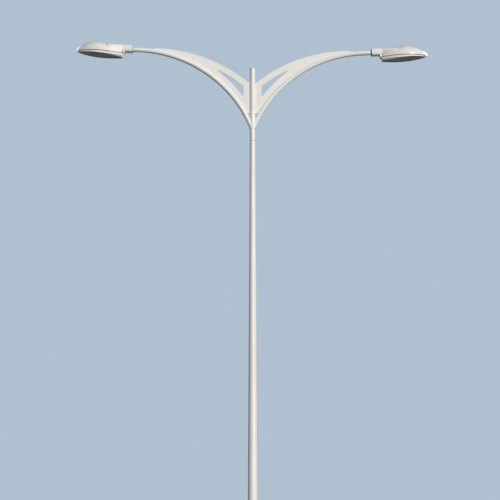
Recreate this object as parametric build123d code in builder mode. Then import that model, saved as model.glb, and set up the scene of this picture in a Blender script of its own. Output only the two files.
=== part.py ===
from build123d import *
from math import asin, atan2, cos, degrees, radians, sin, sqrt, tan
import os

# Twin-arm street lighting column: a tapered steel pole on a bolted base plate, with a welded
# double bracket on its top and a road lantern on each arm.
# Millimetres. The origin is the centre of the base plate's underside, the arms lie along X.

# Pole
shaft_top_z = 8750
shaft_top_d = 72
taper_per_metre = 10.6
wall = 4

# Base plate, its anchor holes and gussets
plate_side = 400
plate_corner_r = 20
plate_t = 25
plate_chamfer = 2
anchor_pitch = 300
anchor_hole_d = 28
cable_hole_d = 110
gusset_h = 140
gusset_reach = 75
gusset_toe = 15
gusset_t = 12

# Access door near the foot
door_w = 92
door_h = 420
door_base_z = 600
door_corner_r = 30
door_gap = 1.5
door_rim = 14
door_rim_t = 6

# Bracket upright, sleeved over a spigot
bracket_d = 70
bracket_top_z = 9736
spigot_d = bracket_d - 2 * wall
spigot_down = 180
spigot_up = 220
shoulder_t = 8
seal_t = 4
seal_inset = 1.5
cap_h = 21
cap_rim = 6
cap_plug = 25

# Bracket arms and webs: both edges are long arcs
arm_d = 60
arm_wall = 3.5
arm_tilt = 3
arm_radius = 1670
arm_centre_x = 1561
arm_centre_z = 8309
arm_start_x = 12
web_t = 8
web_radius = 1949
web_centre_x = 1306
web_centre_z = 8055
web_foot_z = 9130
window_top_band = 80
window_low_band = 77
window_side_x = 120
window_corner_r = 8

# Lantern, in its own frame: x along the arm's end from the collar face, z square to the arm
collar_x = 1588
collar_side = 104
collar_rise = 5
collar_corner_r = 34
collar_length = 150
arm_in_lantern = 105
end_ring_t = 4
end_ring_r = 46
rim_z = -68
widest_x = 450
widest = 130
rear_flank_r = 686
front_flank_r = 387
canopy_lip = 8
canopy_wall = 3
canopy_tops = ((230, 48), (330, 63), (400, 79), (460, 87), (540, 73), (600, 50), (660, 15), (714, -28))
crease_low_x = 275
crease_high_x = 375
crease_high_z = 80
housing_rear_x = 140
housing_wall = 4
housing_step = 5
housing_top_z = 59
housing_sections = (housing_rear_x, 200, 300, 390)
housing_corner_share = 0.36
tray_t = 3

# Lens frame, hinged at its rear end, with a glass in its foot and a seal on its upper edge
frame_top_z = -77
frame_depth = 46
frame_band = 26
frame_nose_depth = 8
frame_band_draft = 6
frame_foot_draft = 45
frame_overrun = 35
frame_wall = 4
frame_rear_x = 131
frame_nose_x = 714
frame_nose_bulge = 8
seal_h = 3.5
glass_lift = 2
glass_t = 5
pin_x = 118
pin_z = -61
pin_r = 4
pin_play = 0.05
knuckle_r = 9
knuckle_t = 10
knuckle_gap = 2
knuckle_y = 30
pin_overhang = 3

# Reflector, lamp and lampholder inside the canopy
reflector_gap = 12
reflector_t = 1.5
lamp_x = 352
lamp_z = -14
lamp_r = 23
lamp_length = 200
lamp_cap_r = 19
lamp_neck = 20
lamp_shoulder = 10
holder_r = 27
holder_wall = 5
holder_length = 60
socket_depth = 18

# Spring clip on the canopy's nose, its corners seen from the side
clip_w = 30
clip_t = 2
clip_corners = ((686, 0), (726, -27), (748, -60), (748, -72), (730, -72), (714, -52), (686, -24))


def keep(piece, name):
    """Labels a finished piece and writes it as its own file."""
    piece.part.label = name
    export_step(piece.part, f"parts/{name}.step")


def keep_pair(piece, name):
    """Writes a piece of the right-hand side, and its mirror image on the left."""
    keep(piece, f"right_{name}")
    with BuildPart() as twin:
        mirror(piece.part, about=Plane.YZ)
    keep(twin, f"left_{name}")


def shaft_r(z):
    """Outer radius of the pole at a height."""
    return (shaft_top_d + taper_per_metre * (shaft_top_z - z) / 1000) / 2


def cone(inset):
    """The pole's cone as a solid, from the base plate up, its surface set in by a thickness."""
    with BuildPart() as body:
        with BuildSketch(Plane.XZ):
            with BuildLine():
                Polyline(
                    (0, plate_t),
                    (shaft_r(plate_t) - inset, plate_t),
                    (shaft_r(shaft_top_z) - inset, shaft_top_z),
                    (0, shaft_top_z),
                    close=True,
                )
            make_face()
        revolve(axis=Axis.Z)
    return body.part


os.makedirs("parts", exist_ok=True)

# Base plate: square, with the cable hole in its middle and four anchor holes
with BuildPart() as base_plate:
    with BuildSketch():
        RectangleRounded(plate_side, plate_side, plate_corner_r)
        Circle(cable_hole_d / 2, mode=Mode.SUBTRACT)
        with GridLocations(anchor_pitch, anchor_pitch, 2, 2):
            Circle(anchor_hole_d / 2, mode=Mode.SUBTRACT)
    extrude(amount=plate_t)
    chamfer(base_plate.faces().sort_by(Axis.Z)[-1].outer_wire().edges(), plate_chamfer)
keep(base_plate, "base_plate")

# Pole: one long cone rolled from sheet, open at both ends, with the door opening near its foot
front = Plane(origin=(0, 0, door_base_z + door_h / 2), x_dir=(1, 0, 0), z_dir=(0, -1, 0))
pole_bar = cone(0)
pole_bore = cone(wall)

with BuildPart() as shaft:
    add(pole_bar)
    add(pole_bore, mode=Mode.SUBTRACT)
    with BuildSketch(front):
        RectangleRounded(door_w, door_h, door_corner_r)
    extrude(amount=plate_side, mode=Mode.SUBTRACT)
keep(shaft, "shaft")

# Door: the same curved sheet as the pole, smaller than its opening by a narrow gap
with BuildPart() as access_door:
    add(pole_bar)
    add(pole_bore, mode=Mode.SUBTRACT)
    with BuildSketch(front):
        RectangleRounded(door_w - 2 * door_gap, door_h - 2 * door_gap, door_corner_r - door_gap)
    extrude(amount=plate_side, mode=Mode.INTERSECT)
keep(access_door, "access_door")

# Door frame: a curved strip welded inside the opening, which the door closes against
with BuildPart() as door_frame:
    add(pole_bore)
    add(cone(wall + door_rim_t), mode=Mode.SUBTRACT)
    with BuildSketch(front):
        RectangleRounded(door_w + 2 * door_rim, door_h + 2 * door_rim, door_corner_r + door_rim)
        RectangleRounded(
            door_w - 2 * door_rim,
            door_h - 2 * door_rim,
            door_corner_r - door_rim,
            mode=Mode.SUBTRACT,
        )
    extrude(amount=plate_side, mode=Mode.INTERSECT)
keep(door_frame, "door_frame")

# Gussets: four ribs between the plate and the pole, midway between the anchors
with BuildPart() as rib:
    with BuildSketch(Plane.XZ):
        with BuildLine():
            Polyline(
                (shaft_r(plate_t) - 2 * wall, plate_t),
                (shaft_r(plate_t) + gusset_reach, plate_t),
                (shaft_r(plate_t) + gusset_reach, plate_t + gusset_toe),
                (shaft_r(plate_t) + gusset_toe / 2, plate_t + gusset_h),
                (shaft_r(plate_t) - 2 * wall, plate_t + gusset_h),
                close=True,
            )
        make_face()
    extrude(amount=gusset_t / 2, both=True)
    add(pole_bar, mode=Mode.SUBTRACT)

with BuildPart() as base_gussets:
    for turn in range(4):
        add(rib.part, rotation=(0, 0, 90 * turn))
keep(base_gussets, "base_gussets")

# Spigot: the tube in the pole top that carries the bracket, with a shoulder inside the pole's end
with BuildPart() as top_spigot:
    with BuildSketch(Plane.XY.offset(shaft_top_z - shoulder_t)):
        Circle(shaft_top_d / 2)
    extrude(amount=shoulder_t)
    add(pole_bore, mode=Mode.INTERSECT)
    with BuildSketch(Plane.XY.offset(shaft_top_z - spigot_down)):
        Circle(spigot_d / 2)
    extrude(amount=spigot_down + spigot_up)
    with BuildSketch(Plane.XY.offset(shaft_top_z - spigot_down)):
        Circle(spigot_d / 2 - wall)
    extrude(amount=spigot_down + spigot_up, mode=Mode.SUBTRACT)
keep(top_spigot, "top_spigot")

# Joint seal: the rubber ring between the pole's end and the bracket, seen as a dark line
with BuildPart() as joint_seal:
    with BuildSketch(Plane.XY.offset(shaft_top_z)):
        Circle(bracket_d / 2 - seal_inset)
        Circle(spigot_d / 2, mode=Mode.SUBTRACT)
    extrude(amount=seal_t)
keep(joint_seal, "joint_seal")

# Bracket tube: the upright of the bracket
bracket_foot_z = shaft_top_z + seal_t
with BuildPart() as bracket_bar:
    with BuildSketch(Plane.XY.offset(bracket_foot_z)):
        Circle(bracket_d / 2)
    extrude(amount=bracket_top_z - bracket_foot_z)

with BuildPart() as bracket_tube:
    add(bracket_bar.part)
    with BuildSketch(Plane.XY.offset(bracket_foot_z)):
        Circle(spigot_d / 2)
    extrude(amount=bracket_top_z - bracket_foot_z, mode=Mode.SUBTRACT)
keep(bracket_tube, "bracket_tube")

# Cap: a domed plug that closes the bracket tube
cap_r = bracket_d / 2 + 1
cap_dome_h = cap_h - cap_rim
cap_dome_r = (cap_r**2 + cap_dome_h**2) / (2 * cap_dome_h)
cap_dome_half = degrees(asin(cap_r / cap_dome_r))
with BuildPart() as bracket_cap:
    with BuildSketch(Plane.XZ):
        with BuildLine():
            Polyline(
                (0, bracket_top_z + cap_h),
                (0, bracket_top_z - cap_plug),
                (spigot_d / 2, bracket_top_z - cap_plug),
                (spigot_d / 2, bracket_top_z),
                (cap_r, bracket_top_z),
                (cap_r, bracket_top_z + cap_rim),
            )
            CenterArc((0, bracket_top_z + cap_h - cap_dome_r), cap_dome_r, 90 - cap_dome_half, cap_dome_half)
        make_face()
    revolve(axis=Axis.Z)
keep(bracket_cap, "bracket_cap")

# Directions along and square to the arm's straight end, which are also the lantern's own axes
along = Vector(cos(radians(arm_tilt)), 0, sin(radians(arm_tilt)))
square = Vector(-sin(radians(arm_tilt)), 0, cos(radians(arm_tilt)))

# Arm: one bent tube, from the bracket tube through a long arc to a straight end inside the lantern
arc_end_x = arm_centre_x - arm_radius * sin(radians(arm_tilt))
arc_end_z = arm_centre_z + arm_radius * cos(radians(arm_tilt))
collar_z = arc_end_z + (collar_x - arc_end_x) * tan(radians(arm_tilt))
arm_start_rise = sqrt(arm_radius**2 - (arm_centre_x - arm_start_x) ** 2)
arm_start_angle = degrees(atan2(arm_start_rise, arm_start_x - arm_centre_x))
straight_length = (collar_x - arc_end_x) / cos(radians(arm_tilt)) + arm_in_lantern

bend_axis = Axis((arm_centre_x, 0, arm_centre_z), (0, 1, 0))
arm_start = Plane(
    origin=(arm_start_x, 0, arm_centre_z + arm_start_rise),
    x_dir=(0, 1, 0),
    z_dir=(arm_start_rise, 0, arm_centre_x - arm_start_x),
)


def arm_tube(inner_r):
    """The arm as a bent and a straight stretch; an inner radius of 0 makes it a bar."""
    with BuildPart() as tube:
        with BuildSketch(arm_start):
            Circle(arm_d / 2)
            if inner_r:
                Circle(inner_r, mode=Mode.SUBTRACT)
        revolve(axis=bend_axis, revolution_arc=arm_start_angle - 90 - arm_tilt)
        with BuildSketch(Plane(origin=(arc_end_x, 0, arc_end_z), x_dir=(0, 1, 0), z_dir=along)):
            Circle(arm_d / 2)
            if inner_r:
                Circle(inner_r, mode=Mode.SUBTRACT)
        extrude(amount=straight_length)
    return tube.part


arm_bar = arm_tube(0)
with BuildPart() as arm:
    add(arm_tube(arm_d / 2 - arm_wall))
    add(bracket_bar.part, mode=Mode.SUBTRACT)
keep_pair(arm, "arm")

# Web: the plate between arm and bracket tube, with a window that runs along its curved edges
with BuildPart() as web:
    with BuildSketch(Plane.XZ):
        with Locations((web_centre_x, web_centre_z)):
            Circle(web_radius)
        with Locations((arm_centre_x, arm_centre_z)):
            Circle(arm_radius, mode=Mode.SUBTRACT)
        with Locations((0, web_foot_z)):
            Rectangle(web_centre_x, web_radius, align=(Align.MIN, Align.MIN), mode=Mode.INTERSECT)
    extrude(amount=web_t / 2, both=True)
    with BuildSketch(Plane.XZ) as window:
        with Locations((web_centre_x, web_centre_z)):
            Circle(web_radius - window_top_band)
        with Locations((arm_centre_x, arm_centre_z)):
            Circle(arm_radius + arm_d / 2 + window_low_band, mode=Mode.SUBTRACT)
        with Locations((window_side_x, web_foot_z + window_low_band)):
            Rectangle(arm_centre_x / 2, web_radius, align=(Align.MIN, Align.MIN), mode=Mode.INTERSECT)
        fillet(window.vertices(), window_corner_r)
    extrude(amount=web_t / 2, both=True, mode=Mode.SUBTRACT)
    add(arm_bar, mode=Mode.SUBTRACT)
    add(bracket_bar.part, mode=Mode.SUBTRACT)
keep_pair(web, "web")


def spot(x, z):
    """A point of the lantern's middle plane."""
    return Vector(collar_x, 0, collar_z) + along * x + square * z


def level(z):
    """A plane seen from above the lantern, x along it."""
    return Plane(origin=spot(0, z), x_dir=along, z_dir=square)


def crosswise(x, facing=along):
    """A plane across the lantern: x is the column's Y, y is up the lantern when it faces outwards."""
    return Plane(origin=spot(x, 0), x_dir=(0, 1, 0), z_dir=facing)


sidewise = Plane(origin=spot(0, 0), x_dir=along, z_dir=(0, -1, 0))
crease_run = crease_high_x - crease_low_x
crease_climb = crease_high_z - rim_z
crease_face = along * crease_climb - square * crease_run


def crease(shift):
    """The slanted plane between gear housing and canopy, moved forward by a distance."""
    return Plane(origin=spot(crease_low_x + shift, rim_z), x_dir=(0, 1, 0), z_dir=crease_face)


def half_width(x, inset=0):
    """Half the lantern's width: one arc behind the widest place and one before it."""
    flank = rear_flank_r if x < widest_x else front_flank_r
    return widest - flank + sqrt((flank - inset) ** 2 - (x - widest_x) ** 2)


def dome(inset):
    """The canopy's form, lofted through arched sections, its surface set in by a thickness."""
    with BuildPart() as body:
        for x, top in canopy_tops:
            reach = half_width(x) - inset
            with BuildSketch(crosswise(x)):
                with BuildLine():
                    Polyline(
                        (reach, rim_z + canopy_lip),
                        (reach, rim_z - inset),
                        (-reach, rim_z - inset),
                        (-reach, rim_z + canopy_lip),
                    )
                    EllipticalCenterArc(
                        (0, rim_z + canopy_lip), reach, top - inset - rim_z - canopy_lip, arc_size=180
                    )
                make_face()
        loft()
    return body.part


def front_of(solid, plane):
    """The piece of a solid that lies in front of a plane."""
    return split(solid, bisect_by=plane, keep=Keep.TOP, mode=Mode.PRIVATE)


# Canopy: the optical dome, a shell open below, closed behind by a slanted wall and in front by the nose
with BuildPart() as canopy:
    add(front_of(dome(0), crease(0)))
    nose = crosswise(canopy_tops[-1][0] - canopy_wall, -along)
    add(front_of(front_of(dome(canopy_wall), crease(2 * canopy_wall)), nose), mode=Mode.SUBTRACT)
keep_pair(canopy, "canopy")


def housing_form(inset):
    """The gear housing's form: rounded sections that widen from the collar to the canopy."""
    with BuildPart() as body:
        for x in housing_sections:
            width = 2 * half_width(x) - 2 * housing_step
            height = housing_top_z - inset - 2 * rim_z
            with BuildSketch(crosswise(x)):
                with Locations((0, housing_top_z - inset - height / 2)):
                    RectangleRounded(width - 2 * inset, height, housing_corner_share * width - inset)
        loft()
    return body.part


behind_crease = Plane(origin=spot(crease_low_x, rim_z), x_dir=(0, 1, 0), z_dir=-crease_face)
above_rim = Plane(origin=spot(0, rim_z), x_dir=along, z_dir=square)
hinge_plane = Plane(origin=spot(pin_x, pin_z), x_dir=along, z_dir=(0, -1, 0))
lug_y = knuckle_y + knuckle_t / 2
outer_lug_y = lug_y + knuckle_t + knuckle_gap
lug_top = -pin_z - arm_d / 2

# Gear housing: the cast rear body, a square collar on the arm that widens towards the canopy,
# with a closed gear chamber and a pair of hinge lugs under the collar
with BuildPart() as gear_chamber:
    add(front_of(front_of(housing_form(housing_wall), above_rim), behind_crease.offset(housing_wall)))
    split(bisect_by=crosswise(housing_rear_x + housing_wall), keep=Keep.TOP)

with BuildPart() as gear_housing:
    add(front_of(front_of(housing_form(0), above_rim), behind_crease))
    with BuildSketch(crosswise(0)):
        with Locations((0, collar_rise)):
            RectangleRounded(collar_side, collar_side, collar_corner_r)
    extrude(amount=collar_length)
    for side in (-1, 1):
        with BuildSketch(hinge_plane.offset(side * outer_lug_y)):
            with BuildLine():
                Polyline(
                    (-knuckle_r, 0),
                    (-knuckle_r, lug_top),
                    (knuckle_r, lug_top),
                    (knuckle_r, 0),
                )
                CenterArc((0, 0), knuckle_r, 0, -180)
            make_face()
        extrude(amount=knuckle_t / 2, both=True)
    with BuildSketch(hinge_plane):
        Circle(pin_r)
    extrude(amount=widest, both=True, mode=Mode.SUBTRACT)
    with BuildSketch(crosswise(0)):
        Circle(arm_d / 2)
    extrude(amount=arm_in_lantern, mode=Mode.SUBTRACT)
    add(gear_chamber.part, mode=Mode.SUBTRACT)
keep_pair(gear_housing, "gear_housing")

# Gear tray: the plate that closes the gear chamber from below
with BuildPart() as gear_tray:
    with BuildSketch(level(rim_z)):
        with Locations((crease_low_x, 0)):
            Rectangle(2 * crease_low_x, 2 * widest)
    extrude(amount=tray_t)
    add(gear_chamber.part, mode=Mode.INTERSECT)
keep_pair(gear_tray, "gear_tray")

# Collar ring: the rubber ring that seals the lantern on the arm
with BuildPart() as collar_ring:
    with BuildSketch(crosswise(-end_ring_t)):
        Circle(end_ring_r)
    extrude(amount=end_ring_t)
    chamfer(collar_ring.faces().sort_by(Axis.X)[0].edges(), end_ring_t / 5)
    with BuildSketch(crosswise(-end_ring_t)):
        Circle(arm_d / 2)
    extrude(amount=end_ring_t, mode=Mode.SUBTRACT)
keep_pair(collar_ring, "collar_ring")


def plan_outline(inset, rear_x, tip_x):
    """The lens frame's outline seen from above, set in from the flanks and the ends."""
    rear_y = half_width(rear_x, inset)
    side_y = widest - inset
    tip_y = half_width(tip_x, inset)
    with BuildSketch() as outline:
        with BuildLine():
            Line((rear_x, -rear_y), (rear_x, rear_y))
            ThreePointArc((tip_x, -tip_y), (tip_x + frame_nose_bulge, 0), (tip_x, tip_y))
            for side in (-1, 1):
                RadiusArc((rear_x, side * rear_y), (widest_x, side * side_y), side * (rear_flank_r - inset))
                RadiusArc((widest_x, side * side_y), (tip_x, side * tip_y), side * (front_flank_r - inset))
        make_face()
    return outline.sketch


def tub(wall_in):
    """The lens frame's form: a steep band below its level upper edge, then sides that lean in."""
    lean = wall_in + frame_band * tan(radians(frame_band_draft))
    with BuildPart() as body:
        with BuildSketch(level(frame_top_z)):
            add(plan_outline(wall_in, frame_rear_x - frame_overrun, frame_nose_x - wall_in))
        extrude(amount=-frame_band, taper=frame_band_draft)
        with BuildSketch(level(frame_top_z - frame_band)):
            add(plan_outline(lean, frame_rear_x - frame_overrun, frame_nose_x - lean))
        extrude(amount=frame_band - frame_depth, taper=frame_foot_draft)
        split(bisect_by=crosswise(frame_rear_x + wall_in), keep=Keep.TOP)
    return body.part


foot_run = frame_nose_x - frame_rear_x
foot_climb = frame_depth - frame_nose_depth
foot_face = square * foot_run - along * foot_climb


def foot_plane(lift, face=foot_face):
    """The slanted plane of the lens frame's foot, raised by a distance."""
    return Plane(origin=spot(frame_rear_x, frame_top_z - frame_depth + lift), x_dir=(0, 1, 0), z_dir=face)


# Lens frame: a tapered ring, deep at its hinge and thin at its nose, with two hinge arms
tub_outside = front_of(tub(0), foot_plane(0))
tub_inside = tub(frame_wall)
with BuildPart() as lens_frame:
    add(tub_outside)
    for side in (-1, 1):
        with BuildSketch(hinge_plane.offset(side * lug_y)):
            Circle(knuckle_r)
            with BuildLine():
                Polyline(
                    (-knuckle_r / 2, -knuckle_r * cos(radians(30))),
                    (knuckle_r * cos(radians(30)), knuckle_r / 2),
                    (frame_rear_x - pin_x, frame_top_z - pin_z),
                    (frame_rear_x - pin_x + 2 * frame_wall, frame_top_z - pin_z - frame_depth / 2),
                    close=True,
                )
            make_face()
        extrude(amount=knuckle_t / 2, both=True)
    add(tub_inside, mode=Mode.SUBTRACT)
    with BuildSketch(hinge_plane):
        Circle(pin_r + pin_play)
    extrude(amount=widest, both=True, mode=Mode.SUBTRACT)
keep_pair(lens_frame, "lens_frame")

# Lens glass: a flat pane just inside the frame's foot
with BuildPart() as lens_glass:
    add(front_of(tub_inside, foot_plane(glass_lift)))
    split(bisect_by=foot_plane(glass_lift + glass_t, -foot_face), keep=Keep.TOP)
keep_pair(lens_glass, "lens_glass")

# Frame seal: the gasket on the frame's upper edge
with BuildPart() as frame_seal:
    with BuildSketch(level(frame_top_z)):
        add(plan_outline(0, frame_rear_x, frame_nose_x))
    extrude(amount=seal_h)
    with BuildSketch(level(frame_top_z)):
        add(plan_outline(frame_wall, frame_rear_x + frame_wall, frame_nose_x - frame_wall))
    extrude(amount=seal_h, mode=Mode.SUBTRACT)
keep_pair(frame_seal, "frame_seal")

# Hinge pin: through the housing's lugs and the frame's arms
with BuildPart() as hinge_pin:
    with BuildSketch(hinge_plane):
        Circle(pin_r)
    extrude(amount=outer_lug_y + knuckle_t / 2 + pin_overhang, both=True)
keep_pair(hinge_pin, "hinge_pin")

# Lampholder: a porcelain cylinder on the canopy's slanted wall
holder_face = Plane(origin=spot(lamp_x, lamp_z), x_dir=(0, 1, 0), z_dir=along)
with BuildPart() as lampholder:
    with BuildSketch(holder_face):
        Circle(holder_r)
    extrude(amount=-holder_length)
    split(bisect_by=crease(2 * canopy_wall), keep=Keep.TOP)
    with BuildSketch(holder_face):
        Circle(holder_r - holder_wall)
    extrude(amount=-socket_depth, mode=Mode.SUBTRACT)
keep_pair(lampholder, "lampholder")

# Lamp: a clear tube with a domed end and a screw cap
lamp_dome_x = lamp_length - lamp_r
with BuildPart() as lamp:
    with BuildSketch(Plane(origin=spot(lamp_x, lamp_z), x_dir=along, z_dir=(0, -1, 0))):
        with BuildLine():
            Polyline(
                (lamp_length, 0),
                (-socket_depth, 0),
                (-socket_depth, lamp_cap_r),
                (lamp_neck, lamp_cap_r),
                (lamp_neck + lamp_shoulder, lamp_r),
                (lamp_dome_x, lamp_r),
            )
            CenterArc((lamp_dome_x, 0), lamp_r, 90, -90)
        make_face()
    revolve(axis=Axis(spot(0, lamp_z), along))
keep_pair(lamp, "lamp")

# Reflector: a pressed bowl under the canopy, open below, with a hole for the lamp in its rear wall
with BuildPart() as reflector:
    add(front_of(front_of(dome(reflector_gap), above_rim), crease(reflector_gap + 2 * canopy_wall)))
    reflector_tip = crosswise(canopy_tops[-1][0] - reflector_gap, -along)
    split(bisect_by=reflector_tip, keep=Keep.TOP)
    reflector_inside = front_of(dome(reflector_gap + reflector_t), crease(reflector_gap + 3 * canopy_wall))
    add(front_of(reflector_inside, reflector_tip.offset(reflector_t)), mode=Mode.SUBTRACT)
    with BuildSketch(crosswise(crease_low_x)):
        with Locations((0, lamp_z)):
            Circle(holder_r)
    extrude(amount=crease_run, mode=Mode.SUBTRACT)
keep_pair(reflector, "reflector")

# Spring clip: a channel that slopes down over the canopy's nose, its two cheeks turned in towards it
with BuildPart() as clip:
    with BuildSketch(sidewise):
        with BuildLine():
            Polyline(*clip_corners, close=True)
        make_face()
    extrude(amount=clip_w / 2, both=True)
    with BuildSketch(sidewise):
        with BuildLine():
            Polyline(*[(x - clip_t, z - clip_t) for x, z in clip_corners], close=True)
        make_face()
    extrude(amount=clip_w / 2 - clip_t, both=True, mode=Mode.SUBTRACT)
    add(dome(0), mode=Mode.SUBTRACT)
keep_pair(clip, "clip")
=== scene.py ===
# %% [markdown]
# # A twin-arm street lighting column
#
# The solids of this column come from a CAD source: pole, base, bracket and two road lanterns, each part in its
# real place and size. This lesson dresses them. It gives every surface a finish made of shader nodes, adds the
# small things that a CAD model leaves out, such as weld beads, lock screws and the inside of the lamps, and sets
# up a camera, lights and a floor.

from math import asin, cos, hypot, pi, radians, sin, sqrt, tan

import bmesh
import bpy
from mathutils import Matrix, Vector


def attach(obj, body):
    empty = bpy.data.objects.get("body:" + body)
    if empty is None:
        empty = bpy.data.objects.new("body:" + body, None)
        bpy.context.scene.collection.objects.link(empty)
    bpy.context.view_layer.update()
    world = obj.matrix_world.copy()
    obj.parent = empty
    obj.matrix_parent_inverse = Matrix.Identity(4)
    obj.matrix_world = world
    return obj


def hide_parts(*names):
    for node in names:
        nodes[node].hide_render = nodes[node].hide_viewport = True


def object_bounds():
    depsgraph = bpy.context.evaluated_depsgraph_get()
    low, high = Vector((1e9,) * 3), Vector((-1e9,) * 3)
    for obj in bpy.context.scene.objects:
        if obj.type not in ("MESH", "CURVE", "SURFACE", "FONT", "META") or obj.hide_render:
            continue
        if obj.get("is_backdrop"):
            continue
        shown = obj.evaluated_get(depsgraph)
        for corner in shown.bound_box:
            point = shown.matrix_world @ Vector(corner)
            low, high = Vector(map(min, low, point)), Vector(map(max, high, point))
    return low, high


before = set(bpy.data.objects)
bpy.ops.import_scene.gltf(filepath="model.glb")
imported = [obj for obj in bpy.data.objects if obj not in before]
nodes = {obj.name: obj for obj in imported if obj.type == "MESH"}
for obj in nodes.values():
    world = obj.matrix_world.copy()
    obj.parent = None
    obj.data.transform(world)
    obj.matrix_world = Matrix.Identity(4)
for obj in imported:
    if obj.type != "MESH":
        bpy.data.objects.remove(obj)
cad_low, cad_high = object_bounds()
print("solids", len(nodes), "box", tuple(round(c, 3) for c in cad_low), tuple(round(c, 3) for c in cad_high))

# %% [markdown]
# ## Camera
#
# Someone stood about 27 m away and looked up with a long lens, so the foot of the pole lies below the picture.
# A camera can be placed by eye, but here the pole's lean, the lamps' height and the width over both lamps were
# matched first, and that leaves one position. The lens is given by its focal length, on a sensor 36 mm wide.

# %% Camera
EYE = (-1.3434, -27.467, 1.6)
TILTED_UP, TURNED = 101.678, -2.7295
camera_data = bpy.data.cameras.new("camera")
camera_data.sensor_width = 36
camera_data.lens = 155
camera_data.clip_end = 2000
camera = bpy.data.objects.new("camera", camera_data)
camera.location = EYE
camera.rotation_euler = (radians(TILTED_UP), 0, radians(TURNED))
bpy.context.scene.collection.objects.link(camera)
bpy.context.scene.camera = camera
print("camera to pole", round(camera.location.xy.length, 2), "m")

# %% [markdown]
# ## Shader maths as plain sums
#
# A finish is a small calculation: take a noise, keep its peaks, darken the colour there. With bare nodes each
# step takes three lines. This class wraps one output socket, so that `1 - mask * 0.3` adds the Math nodes by
# itself. Colours don't go through it, because a Math node would turn them grey: they go through a Mix node.

# %% A wire that can be calculated with
def connect(value, place):
    """Feeds a wire or a fixed value into an input socket."""
    if isinstance(value, Wire):
        place.id_data.links.new(value.socket, place)
    else:
        place.default_value = value


class Wire:
    """One output socket; arithmetic on it adds Math nodes."""

    def __init__(self, socket):
        self.socket = socket

    def calculate(self, operation, *values):
        made = self.socket.id_data.nodes.new("ShaderNodeMath")
        made.operation = operation
        for value, place in zip(values, made.inputs):
            connect(value, place)
        return Wire(made.outputs[0])

    def __add__(self, other):
        return self.calculate("ADD", self, other)

    def __sub__(self, other):
        return self.calculate("SUBTRACT", self, other)

    def __rsub__(self, other):
        return self.calculate("SUBTRACT", other, self)

    def __mul__(self, other):
        return self.calculate("MULTIPLY", self, other)

    def __or__(self, other):
        return self.calculate("MAXIMUM", self, other)

    __radd__ = __add__
    __rmul__ = __mul__


# %% [markdown]
# ## One method for every other node
#
# Noise, Voronoi, Mix and Bump nodes all work the same way: choose a type, set its options, then feed its
# sockets. `node` does that in one line. The other methods are shorthands for what nearly every finish needs: a
# place on the object, a cloudy noise, a mask of its peaks, a mix of two colours, and which way a surface faces.

# %% A helper that adds nodes to a tree
class Nodes:
    """Adds nodes to one node tree."""

    def __init__(self, tree):
        self.tree = tree

    def node(self, kind, settings=None, values=None, output=0):
        made = self.tree.nodes.new(kind)
        for setting, value in (settings or {}).items():
            setattr(made, setting, value)
        for socket, value in (values or {}).items():
            connect(value, made.inputs[socket])
        return Wire(made.outputs[output])

    def place(self, stretch=(1, 1, 1)):
        """Coordinates on the object in metres, squeezed along its axes."""
        here = self.node("ShaderNodeTexCoord", output="Object")
        return self.node("ShaderNodeVectorMath", {"operation": "MULTIPLY"}, {0: here, 1: stretch})

    def noise(self, size, detail=2, stretch=(1, 1, 1)):
        """Cloudy noise from 0 to 1, its patches about as large as the size in metres."""
        values = {"Vector": self.place(stretch), "Scale": 1 / size, "Detail": detail, "Roughness": 0.55}
        return self.node("ShaderNodeTexNoise", None, values)

    def peaks(self, wire, low, high):
        """0 below the low value, 1 above the high one, smooth between."""
        values = {"Value": wire, "From Min": low, "From Max": high}
        return self.node("ShaderNodeMapRange", {"interpolation_type": "SMOOTHSTEP"}, values)

    def mix(self, factor, first, second):
        """The first colour where the factor is 0, the second where it is 1."""
        return self.node("ShaderNodeMix", {"data_type": "RGBA"}, {0: factor, 6: first, 7: second}, output=2)

    def upward(self):
        """1 on surfaces that face up, 0 on those that face sideways, less on those that face down."""
        facing = self.node("ShaderNodeTexCoord", output="Normal")
        return self.node("ShaderNodeSeparateXYZ", None, {0: facing}, output="Z")


# %% [markdown]
# ## Colours as they look on a screen
#
# People read a colour as it looks on a screen, three levels from 0 to 255. Shaders calculate with light itself,
# where half as bright really is half. This function turns one into the other, so that colours in this file can be
# written down as they should look.

# %% Screen colours for shaders
def rgb(red, green, blue):
    """A colour as seen on a screen, from 0 to 255, turned into the linear one that shaders use."""
    def linear(level):
        level /= 255
        return level / 12.92 if level <= 0.04045 else ((level + 0.055) / 1.055) ** 2.4
    return (linear(red), linear(green), linear(blue), 1)


print("middle grey", round(rgb(128, 128, 128)[0], 3))

# %% [markdown]
# ## Backdrop
#
# The column is pale, so it stands before a plain grey-blue a little darker than its paint. Eye and mirror see
# that colour. The light that falls on the column comes from a much weaker sky, so that the undersides of arms and
# lanterns stay dark, as they are outdoors. The Light Path node tells the two kinds of ray apart.

# %% Backdrop and sky light
sky = bpy.data.worlds.new("sky")
sky.use_nodes = True
bpy.context.scene.world = sky
sky.node_tree.nodes.clear()
air = Nodes(sky.node_tree)


def seen(tree):
    """1 for rays from the camera, straight, mirrored or through glass; 0 for those that carry light."""
    camera_ray = tree.node("ShaderNodeLightPath", output="Is Camera Ray")
    mirrored_ray = tree.node("ShaderNodeLightPath", output="Is Glossy Ray")
    through_ray = tree.node("ShaderNodeLightPath", output="Is Transmission Ray")
    return camera_ray | mirrored_ray | through_ray


backdrop = rgb(176, 192, 208)
shown = air.node("ShaderNodeBackground", None, {"Color": backdrop, "Strength": 1.0})
fill = air.node("ShaderNodeBackground", None, {"Color": (0.86, 0.94, 1.0, 1), "Strength": 0.24})
either = air.node("ShaderNodeMixShader", None, {0: seen(air), 1: fill, 2: shown})
world_output = sky.node_tree.nodes.new("ShaderNodeOutputWorld")
connect(either, world_output.inputs["Surface"])
print("sky nodes", len(sky.node_tree.nodes))

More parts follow.
